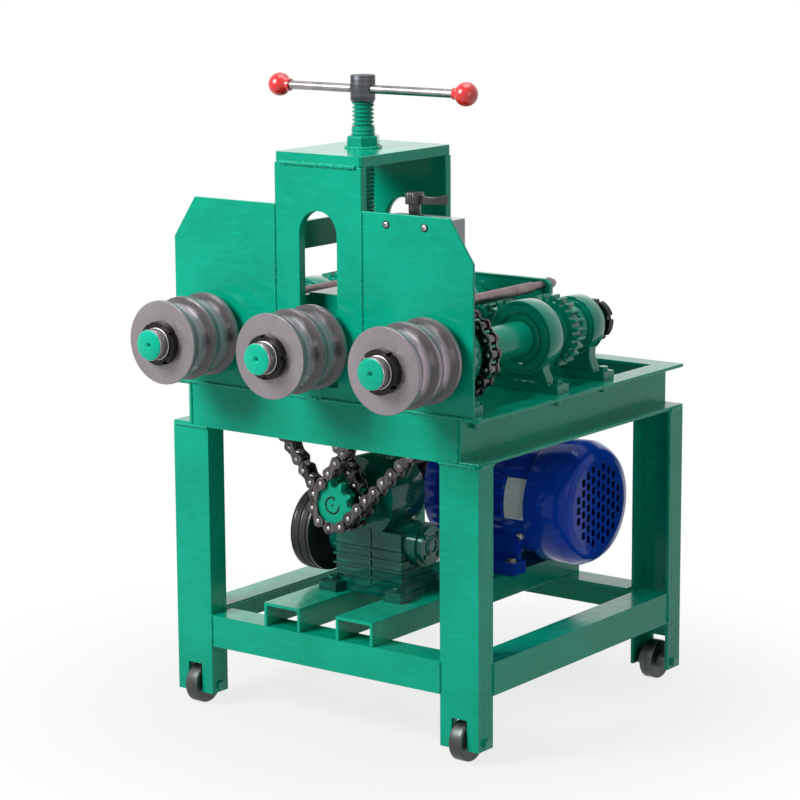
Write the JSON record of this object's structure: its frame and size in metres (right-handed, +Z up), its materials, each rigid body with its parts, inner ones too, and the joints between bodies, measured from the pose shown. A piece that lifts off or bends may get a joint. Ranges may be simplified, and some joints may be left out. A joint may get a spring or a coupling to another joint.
{
  "type": "ring roller",
  "caption": "Three-roll tube and profile bender on a wheeled stand, with a hand press screw, chain and gear drive, worm gearbox and motor.",
  "frame": {"origin": "on the floor under the middle of the overall box", "axes": "+X to the right seen from the rollers, +Y to the rear, +Z up; the rollers are at -Y"},
  "size_m": [0.678, 0.8335, 1.14],
  "materials": {
    "green_enamel": "glossy enamel",
    "bare_steel": "turned",
    "dark_steel": "oiled",
    "red_knob": "gloss",
    "motor_blue": "satin enamel",
    "black_iron": "painted black",
    "black_rubber": "matte",
    "grey_case": "satin",
    "black_plastic": "matte",
    "wheel_iron": "bare",
    "gearbox_green": "enamel"
  },
  "bodies": {
    "stand": {"front_legs": "green_enamel", "rear_legs": "green_enamel", "wheel_axles": "bare_steel", "long_rails": "green_enamel", "side_rails": "green_enamel", "motor_beams": "green_enamel", "base_side_beams": "green_enamel", "base_front_apron": "green_enamel", "base_rear_apron": "green_enamel", "base_cross_beams": "green_enamel", "front_plate_left": "green_enamel", "front_plate_right": "green_enamel", "upright_front": "green_enamel", "upright_rear": "green_enamel", "tie_straps": "green_enamel", "slider_guides": "green_enamel", "top_plate": "green_enamel", "press_nut": "green_enamel", "idler_pins": "bare_steel", "idler_bracket": "green_enamel", "front_bearings": "green_enamel", "ring_bearings": "green_enamel", "pillow_blocks": "green_enamel", "chain_right": "dark_steel", "chain_left": "dark_steel", "gearbox_case": "gearbox_green", "v_belts": "black_rubber", "motor_body": "motor_blue", "fan_cover": "motor_blue", "switch_box": "grey_case", "fasteners": "bare_steel"},
    "wheel_front_left": {"wheel_front_left": "wheel_iron"},
    "wheel_front_right": {"wheel_front_right": "wheel_iron"},
    "wheel_rear_left": {"wheel_rear_left": "wheel_iron"},
    "wheel_rear_right": {"wheel_rear_right": "wheel_iron"},
    "right_shaft": {"shaft_right": "green_enamel", "roller_right": "bare_steel", "sprocket_right": "dark_steel", "gear_right": "green_enamel"},
    "left_shaft": {"shaft_left": "green_enamel", "roller_left": "bare_steel", "sprocket_left": "dark_steel", "gear_left": "green_enamel"},
    "swivel": {"swivel_bush": "bare_steel"},
    "centre_shaft": {"shaft_centre": "green_enamel", "roller_centre": "bare_steel"},
    "centre_gear": {"gear_centre": "green_enamel"},
    "idler_right_outer_body": {"idler_right_outer": "green_enamel"},
    "idler_right_inner_body": {"idler_right_inner": "green_enamel"},
    "idler_left_inner_body": {"idler_left_inner": "green_enamel"},
    "idler_left_outer_body": {"idler_left_outer": "green_enamel"},
    "output": {"gearbox_output": "green_enamel"},
    "worm": {"worm_pulley": "black_iron"},
    "rotor": {"motor_shaft": "dark_steel", "motor_fan": "black_plastic"},
    "slider": {"slider_block": "green_enamel"},
    "screw": {"press_screw": "dark_steel"},
    "bar": {"tommy_bar": "bare_steel", "ball_knobs": "red_knob"},
    "lever": {"switch_lever": "black_plastic"}
  },
  "joints": [
    {"name": "wheel_front_left_roll", "type": "hinge", "parent": "stand", "child": "wheel_front_left", "pos_m": [-0.293, -0.22625, 0.036], "axis": [1, 0, 0], "continuous": true},
    {"name": "wheel_front_right_roll", "type": "hinge", "parent": "stand", "child": "wheel_front_right", "pos_m": [0.293, -0.22625, 0.036], "axis": [1, 0, 0], "continuous": true},
    {"name": "wheel_rear_left_roll", "type": "hinge", "parent": "stand", "child": "wheel_rear_left", "pos_m": [-0.293, 0.38075, 0.036], "axis": [1, 0, 0], "continuous": true},
    {"name": "wheel_rear_right_roll", "type": "hinge", "parent": "stand", "child": "wheel_rear_right", "pos_m": [0.293, 0.38075, 0.036], "axis": [1, 0, 0], "continuous": true},
    {"name": "right_shaft_spin", "type": "hinge", "parent": "stand", "child": "right_shaft", "pos_m": [0.238, 0.10825, 0.688], "axis": [0, 1, 0], "continuous": true, "deforming": ["chain_right", "chain_left"]},
    {"name": "left_shaft_spin", "type": "hinge", "parent": "stand", "child": "left_shaft", "pos_m": [-0.238, 0.10825, 0.688], "axis": [0, 1, 0], "continuous": true},
    {"name": "centre_gear_spin", "type": "hinge", "parent": "stand", "child": "centre_gear", "pos_m": [0, 0.10825, 0.688], "axis": [0, 1, 0], "continuous": true},
    {"name": "shaft_tilt", "type": "hinge", "parent": "stand", "child": "swivel", "pos_m": [0, 0.10825, 0.688], "axis": [-1, 0, 0], "range_deg": [-5.2, 5.2]},
    {"name": "centre_shaft_spin", "type": "hinge", "parent": "swivel", "child": "centre_shaft", "pos_m": [0, 0.10825, 0.688], "axis": [0, 1, 0], "continuous": true},
    {"name": "idler_right_outer_spin", "type": "hinge", "parent": "stand", "child": "idler_right_outer_body", "pos_m": [0.149, 0.10825, 0.70138], "axis": [0, 1, 0], "continuous": true},
    {"name": "idler_right_inner_spin", "type": "hinge", "parent": "stand", "child": "idler_right_inner_body", "pos_m": [0.089, 0.10825, 0.70138], "axis": [0, 1, 0], "continuous": true},
    {"name": "idler_left_inner_spin", "type": "hinge", "parent": "stand", "child": "idler_left_inner_body", "pos_m": [-0.089, 0.10825, 0.70138], "axis": [0, 1, 0], "continuous": true},
    {"name": "idler_left_outer_spin", "type": "hinge", "parent": "stand", "child": "idler_left_outer_body", "pos_m": [-0.149, 0.10825, 0.70138], "axis": [0, 1, 0], "continuous": true},
    {"name": "output_spin", "type": "hinge", "parent": "stand", "child": "output", "pos_m": [-0.033, -0.16575, 0.389], "axis": [0, 1, 0], "continuous": true},
    {"name": "motor_spin", "type": "hinge", "parent": "stand", "child": "rotor", "pos_m": [-0.15, 0.26225, 0.345], "axis": [1, 0, 0], "continuous": true},
    {"name": "worm_spin", "type": "hinge", "parent": "stand", "child": "worm", "pos_m": [-0.15, -0.04675, 0.309], "axis": [1, 0, 0], "continuous": true},
    {"name": "press_slide", "type": "slide", "parent": "stand", "child": "slider", "axis": [0, 0, 1], "range_m": [-0.02, 0.02]},
    {"name": "screw_turn", "type": "hinge", "parent": "slider", "child": "screw", "pos_m": [0, -0.11875, 0.768], "axis": [0, 0, 1], "range_deg": [-1028.4, 1028.4]},
    {"name": "bar_slide", "type": "slide", "parent": "screw", "child": "bar", "axis": [1, 0, 0], "range_m": [-0.1704, 0.1364]},
    {"name": "switch_turn", "type": "hinge", "parent": "stand", "child": "lever", "pos_m": [0.18232, -0.21775, 0.92], "axis": [0, 0, 1], "range_deg": [-60, 60]}
  ],
  "couplings": [
    {"joint": "left_shaft_spin", "follows": "right_shaft_spin", "ratio": 1},
    {"joint": "centre_gear_spin", "follows": "right_shaft_spin", "ratio": -1},
    {"joint": "centre_shaft_spin", "follows": "right_shaft_spin", "ratio": -1},
    {"joint": "idler_right_outer_spin", "follows": "right_shaft_spin", "ratio": -2},
    {"joint": "idler_right_inner_spin", "follows": "right_shaft_spin", "ratio": 2},
    {"joint": "idler_left_inner_spin", "follows": "right_shaft_spin", "ratio": 2},
    {"joint": "idler_left_outer_spin", "follows": "right_shaft_spin", "ratio": -2},
    {"joint": "output_spin", "follows": "right_shaft_spin", "ratio": 1.6},
    {"joint": "worm_spin", "follows": "motor_spin", "ratio": 0.48},
    {"joint": "press_slide", "follows": "screw_turn", "m_per_rad": 0.0011141},
    {"joint": "shaft_tilt", "follows": "screw_turn", "ratio": 0.0049079}
  ]
}
